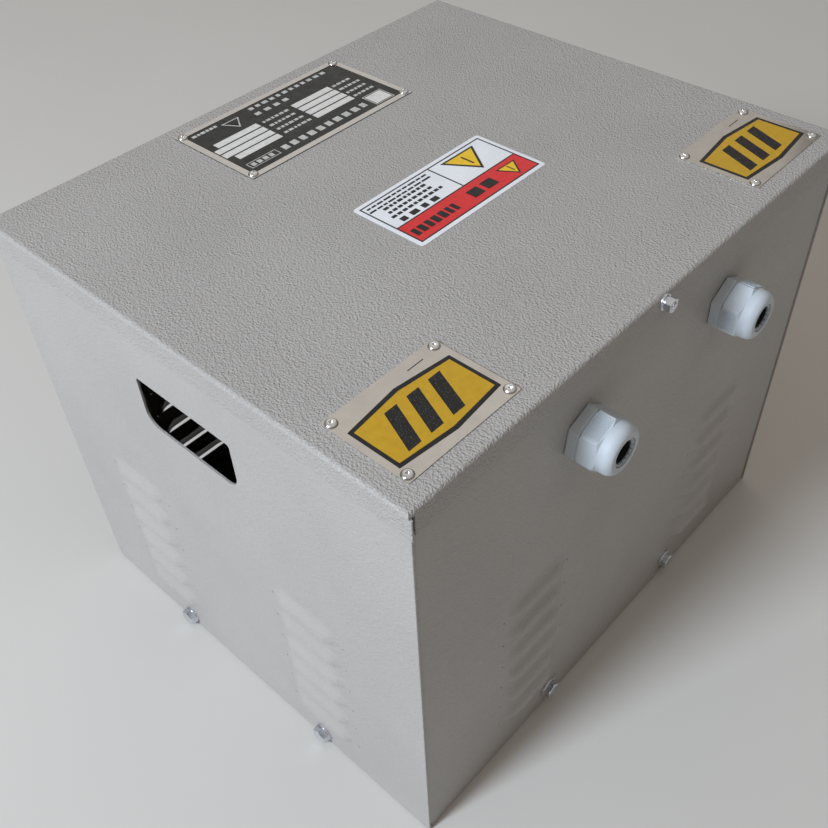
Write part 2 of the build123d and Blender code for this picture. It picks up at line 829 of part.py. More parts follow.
with BuildPart() as core_bolts:
    with BuildSketch(Plane.XZ.offset(bolt_reach)):
        with Locations(*core_bolt_spots):
            RegularPolygon(radius=bolt_af / 2, side_count=6, major_radius=False)
    extrude(amount=bolt_head)
    with BuildSketch(Plane.XZ.offset(bolt_reach)):
        with Locations(*core_bolt_spots):
            Circle(core_bolt_r)
    extrude(amount=-2 * bolt_reach - core_bolt_end)
finish(core_bolts, "core_bolts")

with BuildPart() as core_bolt_nuts:
    with BuildSketch(Plane.XZ.offset(-bolt_reach)):
        with Locations(*core_bolt_spots):
            RegularPolygon(radius=bolt_af / 2, side_count=6, major_radius=False)
            Circle(core_bolt_r + thread_fit, mode=Mode.SUBTRACT)
    extrude(amount=-core_nut_t)
finish(core_bolt_nuts, "core_bolt_nuts")

# Rubber isolators on weld studs carry the lower clamps clear of the tray.
foot_grid = GridLocations(2 * foot_x, 2 * foot_y, 2, 2)
foot_top = core_bottom + clamp_t

with BuildPart() as isolator_pads:
    with BuildSketch(Plane.XY.offset(tray_sheet)):
        with foot_grid:
            Circle(pad_r)
            Circle(foot_stud_r + pad_fit, mode=Mode.SUBTRACT)
    extrude(amount=core_bottom - tray_sheet)
finish(isolator_pads, "isolator_pads")

with BuildPart() as weld_studs:
    with BuildSketch(Plane.XY.offset(tray_sheet)):
        with foot_grid:
            Circle(foot_stud_r)
    extrude(amount=foot_top + foot_stud_end - tray_sheet)
finish(weld_studs, "weld_studs")

with BuildPart() as foot_nuts:
    with BuildSketch(Plane.XY.offset(foot_top)):
        with foot_grid:
            Circle(foot_washer_r)
            Circle(foot_stud_r + thread_fit, mode=Mode.SUBTRACT)
    extrude(amount=foot_washer_t)
    with BuildSketch(Plane.XY.offset(foot_top + foot_washer_t)):
        with foot_grid:
            RegularPolygon(radius=foot_nut_af / 2, side_count=6, major_radius=False)
            Circle(foot_stud_r + thread_fit, mode=Mode.SUBTRACT)
    extrude(amount=foot_nut_t)
finish(foot_nuts, "foot_nuts")

# ---------------------------------------------------------------- terminal board
pillar_spots = [(-foot_x, -foot_y), (foot_x, -foot_y)]
terminal_x = [(k - (terminal_count - 1) / 2) * terminal_pitch for k in range(terminal_count)]
terminal_y = board_y - terminal_back
terminal_spots = [(x, terminal_y) for x in terminal_x]

with BuildPart() as board_pillars:
    with BuildSketch(Plane.XY.offset(core_top)):
        with Locations(*pillar_spots):
            RegularPolygon(radius=terminal_af / 2, side_count=6, major_radius=False)
    extrude(amount=board_z - core_top)
finish(board_pillars, "board_pillars")

with BuildPart() as terminal_board:
    with BuildSketch(Plane.XY.offset(board_z)):
        with Locations((0, board_y)):
            RectangleRounded(board_l, board_d, board_corner_r)
        with Locations(*terminal_spots, *pillar_spots):
            Circle(terminal_r + terminal_fit, mode=Mode.SUBTRACT)
    extrude(amount=board_t)
finish(terminal_board, "terminal_board")

with BuildPart() as board_screws:
    with BuildSketch(Plane.XY.offset(board_z + board_t)):
        with Locations(*pillar_spots):
            Circle(screw_head_r)
    extrude(amount=screw_head_t)
    fillet(board_screws.edges().group_by(Axis.Z)[-1], radius=screw_head_round)
    with BuildSketch(Plane.XY.offset(board_z)):
        with Locations(*pillar_spots):
            Circle(terminal_r)
    extrude(amount=board_t)
finish(board_screws, "board_screws")

stud_bottom = board_z - terminal_below
stud_top = board_z + board_t + terminal_above
board_top = board_z + board_t

with BuildPart() as terminal_studs:
    with BuildSketch(Plane.XY.offset(stud_bottom)):
        with Locations(*terminal_spots):
            Circle(terminal_r)
    extrude(amount=stud_top - stud_bottom)
finish(terminal_studs, "terminal_studs")

with BuildPart() as terminal_nuts:
    for low_z in (board_z - terminal_nut_t, board_top, board_top + 1.5 * terminal_nut_t):
        with BuildSketch(Plane.XY.offset(low_z)):
            with Locations(*terminal_spots):
                RegularPolygon(radius=terminal_af / 2, side_count=6, major_radius=False)
                Circle(terminal_r + thread_fit, mode=Mode.SUBTRACT)
        extrude(amount=terminal_nut_t)
finish(terminal_nuts, "terminal_nuts")

# Winding leads rise from the coils' front faces to the undersides of the terminal studs.
coil_front_y = -(stack / 2 + hv_out)
lead_y = coil_front_y - lead_out
lead_z = coil_mid_z + lead_rise
lead_end_z = stud_bottom + lead_under


def lead(start_x, end_x):
    """One insulated lead, out of the coil, up past the clamp and in to its stud."""
    with BuildPart() as wire:
        with BuildLine() as route:
            FilletPolyline(
                (start_x, coil_front_y, lead_z),
                (start_x, lead_y, lead_z),
                (end_x, lead_y, lead_end_z),
                (end_x, terminal_y - terminal_r - terminal_fit, lead_end_z),
                radius=lead_bend,
            )
        with BuildSketch(Plane(origin=route.line @ 0, z_dir=route.line % 0)):
            Circle(lead_r)
        sweep()
    return wire


lead_groups = (("hv_leads", -lead_side, (0, 2, 5)), ("lv_leads", lead_side, (1, 3, 6)))
for lead_name, offset_x, terminals in lead_groups:
    with BuildPart() as lead_group:
        for x, terminal in zip(limb_x, terminals):
            add(lead(x + offset_x, terminal_x[terminal]).part)
    finish(lead_group, lead_name)
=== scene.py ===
from math import cos, pi, radians, sin
from random import Random

import bmesh
import bpy
from mathutils import Matrix, Vector


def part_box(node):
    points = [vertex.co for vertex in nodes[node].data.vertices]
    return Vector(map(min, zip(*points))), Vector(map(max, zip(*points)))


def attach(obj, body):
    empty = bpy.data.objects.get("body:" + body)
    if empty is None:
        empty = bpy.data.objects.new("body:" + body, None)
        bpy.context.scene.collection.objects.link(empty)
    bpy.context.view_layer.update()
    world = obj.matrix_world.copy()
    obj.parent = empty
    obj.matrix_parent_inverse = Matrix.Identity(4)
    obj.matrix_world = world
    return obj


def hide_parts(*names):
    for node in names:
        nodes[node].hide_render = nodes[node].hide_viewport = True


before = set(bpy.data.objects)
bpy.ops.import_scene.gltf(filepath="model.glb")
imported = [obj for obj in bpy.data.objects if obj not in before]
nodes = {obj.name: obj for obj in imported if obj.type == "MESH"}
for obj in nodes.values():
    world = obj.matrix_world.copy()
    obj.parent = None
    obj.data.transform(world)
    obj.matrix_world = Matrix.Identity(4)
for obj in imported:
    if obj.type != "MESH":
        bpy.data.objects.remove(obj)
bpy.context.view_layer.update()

# Looks of a sheet-steel cased dry-type transformer. Metres; +X right, -Y the cable-entry face, +Z up.

MM = 0.001
scene = bpy.context.scene

# ---------------------------------------------------------------- camera, floor and light
CAMERA_AT = (-0.34434, -0.32108, 0.57585)
CAMERA_AZIMUTH = radians(-45.29)
CAMERA_ELEVATION = radians(44.82)
CAMERA_ROLL = radians(-3.02)
CAMERA_LENS = 42.68
FLOOR_SIZE = 12.0
FLOOR_DROP = 0.2 * MM

# Light in three parts: a dome from a horizon colour to an overhead colour, a cool key lamp from the
# left, and a broad card behind on the right that the bright metal mirrors.
OVERHEAD = (0.50, 0.475, 0.445)
HORIZON = (0.122, 0.097, 0.075)
HORIZON_HEIGHT = 0.15
# Name, place, point it faces, diameter, watts, colour.
LAMPS = (
    ("key", (-2.45, 0.3, 1.9), (0, 0, 0.15), 0.7, 93.0, (0.80, 0.89, 1.0)),
    ("card", (1.7, 1.6, 1.7), (0, 0, 0.29), 2.4, 4.0, (1.0, 0.98, 0.95)),
)

# Numbered sockets of the colour mix node: its two colours and its result.
MIX_COLOURS = (6, 7)
MIX_RESULT = 2


def camera_matrix(at, azimuth, elevation, roll):
    """A camera at a point, looking along an azimuth and down by an elevation, rolled about its view."""
    back = Vector((sin(azimuth) * cos(elevation), -cos(azimuth) * cos(elevation), sin(elevation)))
    right = Vector((0, 0, 1)).cross(back).normalized()
    up = back.cross(right)
    rolled_right = cos(roll) * right + sin(roll) * up
    rolled_up = cos(roll) * up - sin(roll) * right
    turn = Matrix((rolled_right, rolled_up, back)).transposed()
    return Matrix.Translation(at) @ turn.to_4x4()


def add_camera():
    data = bpy.data.cameras.new("camera")
    data.lens = CAMERA_LENS
    camera = bpy.data.objects.new("camera", data)
    camera.matrix_world = camera_matrix(CAMERA_AT, CAMERA_AZIMUTH, CAMERA_ELEVATION, CAMERA_ROLL)
    scene.collection.objects.link(camera)
    scene.camera = camera


def add_area_light(name, at, target, size, power, colour):
    data = bpy.data.lights.new(name, "AREA")
    data.shape = "DISK"
    data.size = size
    data.energy = power
    data.color = colour
    lamp = bpy.data.objects.new(name, data)
    lamp.location = at
    aim = Vector(target) - Vector(at)
    lamp.rotation_euler = aim.to_track_quat("-Z", "Y").to_euler()
    scene.collection.objects.link(lamp)


def add_world(overhead, horizon):
    """A plain studio dome that runs from a horizon colour up to an overhead colour."""
    world = bpy.data.worlds.new("studio")
    world.use_nodes = True
    tree = world.node_tree
    background = tree.nodes["Background"]
    place = tree.nodes.new("ShaderNodeTexCoord")
    split = tree.nodes.new("ShaderNodeSeparateXYZ")
    tree.links.new(place.outputs["Generated"], split.inputs["Vector"])
    height = tree.nodes.new("ShaderNodeMapRange")
    height.interpolation_type = "SMOOTHSTEP"
    height.inputs["From Min"].default_value = HORIZON_HEIGHT
    height.inputs["From Max"].default_value = 1.0
    tree.links.new(split.outputs["Z"], height.inputs["Value"])
    mix = tree.nodes.new("ShaderNodeMix")
    mix.data_type = "RGBA"
    tree.links.new(height.outputs["Result"], mix.inputs["Factor"])
    for socket, colour in zip(MIX_COLOURS, (horizon, overhead)):
        mix.inputs[socket].default_value = (*colour, 1)
    tree.links.new(mix.outputs[MIX_RESULT], background.inputs["Color"])
    scene.world = world


# ---------------------------------------------------------------- shader building blocks
class Shader:
    """A Principled material with short calls for the procedural nodes used here."""

    def __init__(self, name, **sockets):
        self.material = bpy.data.materials.new(name)
        self.material.use_nodes = True
        self.tree = self.material.node_tree
        self.surface = self.tree.nodes["Principled BSDF"]
        for socket, value in sockets.items():
            self.surface.inputs[socket.replace("_", " ")].default_value = value
        self.place = self.tree.nodes.new("ShaderNodeTexCoord").outputs["Object"]

    def link(self, output, node, socket):
        self.tree.links.new(output, node.inputs[socket])

    def stretched(self, scale):
        """The place in the object, scaled by axis."""
        mapping = self.tree.nodes.new("ShaderNodeMapping")
        mapping.inputs["Scale"].default_value = scale
        self.link(self.place, mapping, "Vector")
        return mapping.outputs["Vector"]

    def noise(self, scale, detail=2.0, roughness=0.5, distortion=0.0, vector=None):
        node = self.tree.nodes.new("ShaderNodeTexNoise")
        node.inputs["Scale"].default_value = scale
        node.inputs["Detail"].default_value = detail
        node.inputs["Roughness"].default_value = roughness
        node.inputs["Distortion"].default_value = distortion
        self.link(vector or self.place, node, "Vector")
        return node.outputs["Fac"]

    def cells(self, scale, smoothness=0.6, vector=None):
        node = self.tree.nodes.new("ShaderNodeTexVoronoi")
        node.feature = "SMOOTH_F1"
        node.inputs["Scale"].default_value = scale
        node.inputs["Smoothness"].default_value = smoothness
        self.link(vector or self.place, node, "Vector")
        return node.outputs["Distance"]

    def bands(self, axis, pitch, distortion=0.0):
        """Ridges across an axis, one every pitch."""
        node = self.tree.nodes.new("ShaderNodeTexWave")
        node.bands_direction = axis
        node.inputs["Scale"].default_value = 2 * pi / (20 * pitch)
        node.inputs["Distortion"].default_value = distortion
        self.link(self.place, node, "Vector")
        return node.outputs["Fac"]

    def math(self, operation, first, second=0.0):
        node = self.tree.nodes.new("ShaderNodeMath")
        node.operation = operation
        for socket, value in zip((0, 1), (first, second)):
            if isinstance(value, (int, float)):
                node.inputs[socket].default_value = value
            else:
                self.link(value, node, socket)
        return node.outputs["Value"]

    def along(self, axis):
        """The place along one axis, in metres."""
        node = self.tree.nodes.new("ShaderNodeSeparateXYZ")
        self.link(self.place, node, "Vector")
        return node.outputs[axis]

    def span(self, value, low, high, out_low, out_high):
        """A value mapped from one range onto another, held at the ends."""
        node = self.tree.nodes.new("ShaderNodeMapRange")
        ends = {"From Min": low, "From Max": high, "To Min": out_low, "To Max": out_high}
        for socket, number in ends.items():
            node.inputs[socket].default_value = number
        self.link(value, node, "Value")
        return node.outputs["Result"]

    def blend(self, factor, first, second):
        """A colour between two colours."""
        node = self.tree.nodes.new("ShaderNodeMix")
        node.data_type = "RGBA"
        self.link(factor, node, "Factor")
        for socket, colour in zip(MIX_COLOURS, (first, second)):
            if isinstance(colour, tuple):
                node.inputs[socket].default_value = (*colour, 1)
            else:
                self.link(colour, node, socket)
        return node.outputs[MIX_RESULT]

    def bump(self, height, depth, strength=1.0):
        """Relief of a depth in metres; later reliefs ride on earlier ones."""
        node = self.tree.nodes.new("ShaderNodeBump")
        node.inputs["Distance"].default_value = depth
        node.inputs["Strength"].default_value = strength
        self.link(height, node, "Height")
        normal = self.surface.inputs["Normal"]
        if normal.links:
            self.link(normal.links[0].from_socket, node, "Normal")
        self.tree.links.new(node.outputs["Normal"], normal)

    def colour(self, output):
        self.link(output, self.surface, "Base Color")

    def roughness(self, output):
        self.link(output, self.surface, "Roughness")


def mottled(shader, light, dark, scale):
    """Base colour that drifts between two close shades."""
    drift = shader.noise(scale, detail=3.0)
    shader.colour(shader.blend(shader.span(drift, 0.3, 0.7, 0.0, 1.0), dark, light))
    return drift


# ---------------------------------------------------------------- materials
def powder_coat(name, light, dark, grain, grain_depth):
    """Wrinkle-textured powder coating: soft cells with worm-like ridges, and a slow drift of shade."""
    shader = Shader(name, Metallic=0.0, Specular_IOR_Level=0.42)
    mottled(shader, light, dark, 14.0)
    wrinkles = shader.noise(grain, detail=1.5, roughness=0.45, distortion=0.9)
    pebbles = shader.cells(grain * 1.15)
    worms = shader.math("MULTIPLY", wrinkles, 0.7)
    beads = shader.math("MULTIPLY", pebbles, 0.6)
    relief = shader.math("ADD", worms, beads)
    shader.bump(shader.noise(35.0, detail=1.0), 0.25 * MM, 0.15)
    shader.bump(relief, grain_depth)
    shader.roughness(shader.span(wrinkles, 0.3, 0.7, 0.32, 0.48))
    return shader.material


def metal(name, light, dark, roughness, spread, scratch_scale=(400, 400, 60), depth=0.01 * MM):
    """Plated or bare metal with fine directional scratches and cloudy reflections."""
    shader = Shader(name, Metallic=1.0)
    mottled(shader, light, dark, 90.0)
    scratches = shader.noise(3.0, detail=4.0, roughness=0.7, vector=shader.stretched(scratch_scale))
    shader.roughness(shader.span(scratches, 0.3, 0.7, roughness - spread, roughness + spread))
    shader.bump(scratches, depth, 0.5)
    return shader.material


def plastic(name, light, dark, roughness, pit_scale, pit_depth, specular=0.5):
    """Moulded plastic or rubber with a fine pitted skin."""
    shader = Shader(name, Metallic=0.0, Specular_IOR_Level=specular)
    mottled(shader, light, dark, 60.0)
    pits = shader.noise(pit_scale, detail=3.0)
    shader.roughness(shader.span(pits, 0.3, 0.7, roughness - 0.06, roughness + 0.08))
    shader.bump(pits, pit_depth, 0.6)
    return shader.material


def nylon(name):
    """Moulded nylon that lets a little light into its surface."""
    light, dark = (0.575, 0.625, 0.675), (0.52, 0.57, 0.62)
    material = plastic(
        name, light, dark, roughness=0.52, pit_scale=700.0, pit_depth=0.03 * MM, specular=0.4
    )
    surface = material.node_tree.nodes["Principled BSDF"]
    surface.inputs["Subsurface Weight"].default_value = 0.15
    surface.inputs["Subsurface Radius"].default_value = (0.6, 0.6, 0.6)
    surface.inputs["Subsurface Scale"].default_value = 0.8 * MM
    return material


def laminations(name):
    """Edges of stacked varnished core sheets, with blued and rusty patches."""
    shader = Shader(name, Metallic=0.65, Specular_IOR_Level=0.5)
    sheets = shader.bands("Y", 0.5 * MM, 0.6)
    patches = shader.noise(45.0, detail=5.0, roughness=0.7)
    clean = shader.blend(sheets, (0.055, 0.058, 0.066), (0.17, 0.18, 0.20))
    shader.colour(shader.blend(shader.span(patches, 0.58, 0.75, 0.0, 1.0), clean, (0.13, 0.07, 0.045)))
    shader.roughness(shader.span(patches, 0.3, 0.7, 0.32, 0.58))
    shader.bump(sheets, 0.12 * MM, 0.9)
    return shader.material


def enamelled_wire(name, light, dark):
    """Varnished copper wire: deep amber gloss that varies from turn to turn."""
    shader = Shader(name, Metallic=0.55, Coat_Weight=0.6, Coat_Roughness=0.18)
    tone = shader.noise(1.0, detail=4.0, roughness=0.75, vector=shader.stretched((18, 18, 620)))
    varnish = shader.noise(60.0, detail=4.0)
    turn_tone = shader.span(tone, 0.3, 0.7, 0.0, 1.0)
    varnish_tone = shader.span(varnish, 0.2, 0.8, 0.5, 1.1)
    shade = shader.math("MULTIPLY", turn_tone, varnish_tone)
    shader.colour(shader.blend(shade, dark, light))
    shader.roughness(shader.span(varnish, 0.3, 0.7, 0.28, 0.5))
    shader.bump(varnish, 0.05 * MM, 0.5)
    return shader.material


def fibre_board(name, light, dark, speck_scale=700.0):
    """Pressed insulating board or laminate with fibres and flecks."""
    shader = Shader(name, Metallic=0.0, Specular_IOR_Level=0.45)
    fibres = shader.noise(2.0, detail=6.0, roughness=0.75, vector=shader.stretched((60, 60, 260)))
    flecks = shader.noise(speck_scale, detail=2.0)
    long_grain = shader.math("MULTIPLY", fibres, 0.7)
    fine_grain = shader.math("MULTIPLY", flecks, 0.3)
    mixed = shader.math("ADD", long_grain, fine_grain)
    shader.colour(shader.blend(shader.span(mixed, 0.35, 0.65, 0.0, 1.0), dark, light))
    shader.roughness(shader.span(fibres, 0.3, 0.7, 0.45, 0.62))
    shader.bump(mixed, 0.06 * MM, 0.6)
    return shader.material


def rating_plate(name, recess_z):
    """Aluminium plate: bright rim, black anodised field below a level."""
    shader = Shader(name)
    rim = shader.math("GREATER_THAN", shader.along("Z"), recess_z)
    cloud = shader.noise(160.0, detail=5.0, roughness=0.7)
    clouded = shader.span(cloud, 0.35, 0.7, 0.0, 1.0)
    field = shader.blend(clouded, (0.010, 0.011, 0.010), (0.032, 0.034, 0.030))
    bright = shader.blend(cloud, (0.82, 0.815, 0.80), (0.94, 0.935, 0.92))
    shader.colour(shader.blend(rim, field, bright))
    shader.link(rim, shader.surface, "Metallic")
    grain = shader.noise(2.0, detail=4.0, roughness=0.7, vector=shader.stretched((900, 70, 300)))
    matt = shader.span(grain, 0.3, 0.7, 0.36, 0.5)
    shader.roughness(shader.math("SUBTRACT", matt, shader.math("MULTIPLY", rim, 0.14)))
    shader.bump(grain, 0.008 * MM, 0.6)
    return shader.material


def ink(name, light, dark, roughness=0.42, speck=None):
    """Screen-printed ink, thin and slightly uneven, with optional bright specks."""
    shader = Shader(name, Metallic=0.0, Specular_IOR_Level=0.45)
    tone = shader.span(shader.noise(300.0, detail=4.0), 0.3, 0.7, 0.0, 1.0)
    colour = shader.blend(tone, dark, light)
    if speck:
        sparkle = shader.span(shader.noise(1500.0, detail=1.0), 0.62, 0.70, 0.0, 1.0)
        colour = shader.blend(sparkle, colour, speck)
        shader.bump(sparkle, 0.04 * MM, 0.7)
    shader.colour(colour)
    smears = shader.noise(220.0, detail=3.0)
    shader.roughness(shader.span(smears, 0.3, 0.7, roughness - 0.08, roughness + 0.08))
    return shader.material


COAT_LIGHT = (0.425, 0.408, 0.390)
COAT_DARK = (0.395, 0.378, 0.362)
lid_coat = powder_coat("lid_coat", COAT_LIGHT, COAT_DARK, grain=760.0, grain_depth=0.75 * MM)
wall_coat = powder_coat("wall_coat", COAT_LIGHT, COAT_DARK, grain=600.0, grain_depth=0.38 * MM)
tray_coat = powder_coat(
    "tray_coat", (0.33, 0.32, 0.31), (0.30, 0.29, 0.28), grain=600.0, grain_depth=0.38 * MM
)
zinc = metal("zinc", (0.80, 0.835, 0.89), (0.64, 0.67, 0.72), roughness=0.24, spread=0.08)
rivet_metal = metal("rivet_metal", (0.90, 0.90, 0.91), (0.78, 0.78, 0.79), roughness=0.22, spread=0.06)
stainless = metal(
    "stainless", (0.70, 0.675, 0.64), (0.62, 0.60, 0.57), roughness=0.15, spread=0.05,
    scratch_scale=(60, 900, 300), depth=0.004 * MM,
)
brass = metal("brass", (0.78, 0.60, 0.30), (0.60, 0.43, 0.19), roughness=0.30, spread=0.09)
gland_nylon = nylon("gland_nylon")
black_rubber = plastic(
    "black_rubber", (0.022, 0.022, 0.023), (0.012, 0.012, 0.012),
    roughness=0.62, pit_scale=1300.0, pit_depth=0.04 * MM, specular=0.3,
)
clamp_enamel = plastic(
    "clamp_enamel", (0.045, 0.048, 0.052), (0.026, 0.028, 0.031),
    roughness=0.34, pit_scale=260.0, pit_depth=0.05 * MM,
)
red_sleeve = plastic(
    "red_sleeve", (0.42, 0.030, 0.024), (0.30, 0.018, 0.015),
    roughness=0.46, pit_scale=800.0, pit_depth=0.04 * MM,
)
dark_sleeve = plastic(
    "dark_sleeve", (0.030, 0.030, 0.034), (0.016, 0.016, 0.018),
    roughness=0.46, pit_scale=800.0, pit_depth=0.04 * MM,
)
label_film = plastic(
    "label_film", (0.83, 0.85, 0.88), (0.77, 0.79, 0.83),
    roughness=0.30, pit_scale=500.0, pit_depth=0.01 * MM,
)
core_steel = laminations("core_steel")
copper_wire = enamelled_wire("copper_wire", (0.60, 0.24, 0.080), (0.40, 0.135, 0.042))
paper_board = fibre_board("paper_board", (0.66, 0.52, 0.31), (0.50, 0.37, 0.20))
phenolic = fibre_board("phenolic", (0.135, 0.062, 0.028), (0.072, 0.030, 0.014))
black_ink = ink("black_ink", (0.014, 0.014, 0.015), (0.007, 0.007, 0.008), roughness=0.40)
speckled_ink = ink(
    "speckled_ink", (0.012, 0.012, 0.012), (0.005, 0.005, 0.005), roughness=0.48, speck=(0.10, 0.10, 0.09)
)
yellow_ink = ink("yellow_ink", (0.56, 0.33, 0.010), (0.50, 0.285, 0.008), roughness=0.30)
bright_yellow_ink = ink("bright_yellow_ink", (0.85, 0.55, 0.02), (0.80, 0.50, 0.015), roughness=0.36)
red_ink = ink("red_ink", (0.72, 0.028, 0.030), (0.64, 0.020, 0.024), roughness=0.36)
silver_ink = ink("silver_ink", (0.60, 0.60, 0.56), (0.42, 0.42, 0.39), roughness=0.46)
field_white = ink("field_white", (0.74, 0.73, 0.70), (0.62, 0.61, 0.58), roughness=0.42)

NAMEPLATE_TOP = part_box("nameplate")[1].z
RECESS_DEPTH = 0.2 * MM
RECESS_Z = NAMEPLATE_TOP - RECESS_DEPTH

MATERIALS_BY_WORD = (
    ("lid_tray", lid_coat),
    ("_panel", wall_coat),
    ("base_tray", tray_coat),
    ("gland_seal", black_rubber),
    ("gland_gasket", black_rubber),
    ("isolator_pads", black_rubber),
    ("gland", gland_nylon),
    ("nameplate_rivets", rivet_metal),
    ("mark_plate_rivets", rivet_metal),
    ("nameplate", rating_plate("rating_plate", RECESS_Z + RECESS_DEPTH / 2)),
    ("mark_plate", stainless),
    ("caution_label", label_film),
    ("_stack", core_steel),
    ("coil_former", paper_board),
    ("winding", copper_wire),
    ("clamp", clamp_enamel),
    ("terminal_board", phenolic),
    ("terminal_", brass),
    ("hv_leads", red_sleeve),
    ("lv_leads", dark_sleeve),
)


def dress_nodes():
    """Give every CAD node the first material whose word is in its name; zinc-plated steel otherwise."""
    for name, node in nodes.items():
        chosen = next((material for word, material in MATERIALS_BY_WORD if word in name), zinc)
        node.data.materials.clear()
        node.data.materials.append(chosen)


# ---------------------------------------------------------------- prints on plates and label
# The layouts below are in millimetres along the frame's X and Y.
INK_STEP = 0.04 * MM
INK_LIFT = 0.005 * MM


def print_layer(name, outlines, base_z, level, material):
    """Flat ink shapes, given as outlines in mm, lying a number of ink steps above a surface."""
    mesh = bpy.data.meshes.new(name)
    build = bmesh.new()
    for outline in outlines:
        low = base_z + INK_LIFT
        ring = [build.verts.new((x * MM, y * MM, low)) for x, y in outline]
        face = build.faces.new(ring)
        lifted = bmesh.ops.extrude_face_region(build, geom=[face])["geom"]
        tops = [v for v in lifted if isinstance(v, bmesh.types.BMVert)]
        bmesh.ops.translate(build, vec=(0, 0, level * INK_STEP), verts=tops)
    bmesh.ops.recalc_face_normals(build, faces=build.faces)
    build.to_mesh(mesh)
    build.free()
    mesh.materials.append(material)
    piece = bpy.data.objects.new(name, mesh)
    scene.collection.objects.link(piece)
    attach(piece, "hood")
    return piece


def rect(x0, x1, y0, y1):
    return [(x0, y0), (x1, y0), (x1, y1), (x0, y1)]


def frame_rects(x0, x1, y0, y1, line):
    """Four strips round a rectangle, inside its edges."""
    return [
        rect(x0, x1, y0, y0 + line),
        rect(x0, x1, y1 - line, y1),
        rect(x0, x0 + line, y0 + line, y1 - line),
        rect(x1 - line, x1, y0 + line, y1 - line),
    ]


def dashes(x0, x1, y, height, seed, shortest=2.0, longest=7.0, gap=1.3):
    """A row of plain dashes that stands for a line of print."""
    draw = Random(seed)
    row = []
    x = x0
    while x < x1 - shortest:
        end = min(x1, x + draw.uniform(shortest, longest))
        row.append(rect(x, end, y - height / 2, y + height / 2))
        x = end + gap
    return row


def inset_triangle(corners, amount):
    """A triangle shrunk about its centre by a fraction."""
    cx = sum(x for x, y in corners) / 3
    cy = sum(y for x, y in corners) / 3
    return [(cx + (x - cx) * (1 - amount), cy + (y - cy) * (1 - amount)) for x, y in corners]


def print_label():
    """White sticker: thin frame, red band, two plain triangles and rows of dashes."""
    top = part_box("caution_label")[1].z
    left, right, near, far = -47.6, 48.4, -39.6, 5.2
    band_far = -22.2
    line = 0.85
    divider = 4.7
    big = [(13.2, 2.3), (40.0, 2.0), (26.3, -18.5)]
    small = [(27.2, -25.4), (42.9, -25.7), (34.9, -37.4)]
    print_layer("label_band", [rect(left, right, near, band_far)], top, 1, red_ink)
    lines = frame_rects(left, right, near, far, line)
    lines.append(rect(left + line, right - line, band_far, band_far + line))
    lines.append(rect(divider, divider + line, band_far + line, far - line))
    print_layer("label_lines", lines, top, 2, black_ink)
    print_layer("label_triangle_edges", [big, small], top, 3, black_ink)
    fields = [inset_triangle(big, 0.19), inset_triangle(small, 0.22)]
    print_layer("label_triangles", fields, top, 4, bright_yellow_ink)
    bars = dashes(-44.5, -9.0, -31.2, 6.2, seed=3, shortest=2.6, longest=4.6, gap=1.6)
    bars += dashes(0.5, 21.5, -30.6, 7.2, seed=5, shortest=6.5, longest=9.0, gap=3.0)
    bars += dashes(-40.0, -5.0, -18.2, 3.6, seed=8, shortest=3.6, longest=5.4, gap=3.4)
    # Rows of fine print: the row's middle, its start and its end.
    medium_rows = ((-13.0, -41.5, -2.0), (-8.8, -39.5, -4.5), (-4.6, -39.0, -5.0))
    small_rows = ((-1.4, -46.0, 1.5), (1.8, -45.0, 0.5))
    for seed, (y, start, end) in enumerate(medium_rows, 20):
        bars += dashes(start, end, y, 1.9, seed=seed, shortest=1.8, longest=3.4, gap=1.1)
    for seed, (y, start, end) in enumerate(small_rows, 30):
        bars += dashes(start, end, y, 1.2, seed=seed, shortest=2.5, longest=6.5, gap=1.0)
    # One upright bar in each triangle, in place of a pictogram.
    bars.append(rect(25.7, 26.9, -11.0, -1.5))
    bars.append(rect(34.5, 35.3, -33.0, -27.0))
    print_layer("label_dashes", bars, top, 5, black_ink)


def print_mark_plate(side, centre_x, centre_y):
    """Yellow six-sided field with a black border and broad black bars, on a polished plate."""
    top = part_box(f"{side}_mark_plate")[1].z
    half_w, end_low, end_high, middle_low, middle_high = 31.4, -17.0, 12.4, -20.2, 16.2
    field_middle = (end_low + end_high) / 2
    border = 2.0
    outline = [
        (-half_w, end_low), (0.0, middle_low), (half_w, end_low),
        (half_w, end_high), (0.0, middle_high), (-half_w, end_high),
    ]
    shrink_x = 1 - border / half_w
    shrink_y = 1 - border / (end_high - field_middle)
    inner = [(x * shrink_x, field_middle + (y - field_middle) * shrink_y) for x, y in outline]
    layers = (("border", outline, 1, black_ink), ("field", inner, 2, yellow_ink))
    for layer, points, level, colour in layers:
        placed = [(centre_x + x, centre_y + y) for x, y in points]
        print_layer(f"{side}_mark_{layer}", [placed], top, level, colour)
    bar_count, slant, bar, first, pitch = 3, 9.0, 7.5, -22.5, 13.5
    low, high = centre_y - 13.6, centre_y + 8.8
    bars = []
    for count in range(bar_count):
        x = centre_x + first + count * pitch
        bars.append([(x, low), (x + bar, low), (x + bar + slant, high), (x + slant, high)])
    print_layer(f"{side}_mark_bars", bars, top, 3, speckled_ink)
    rule = [rect(centre_x + 12.0, centre_x + 22.0, centre_y + 19.0, centre_y + 19.5)]
    print_layer(f"{side}_mark_rule", rule, top, 1, black_ink)


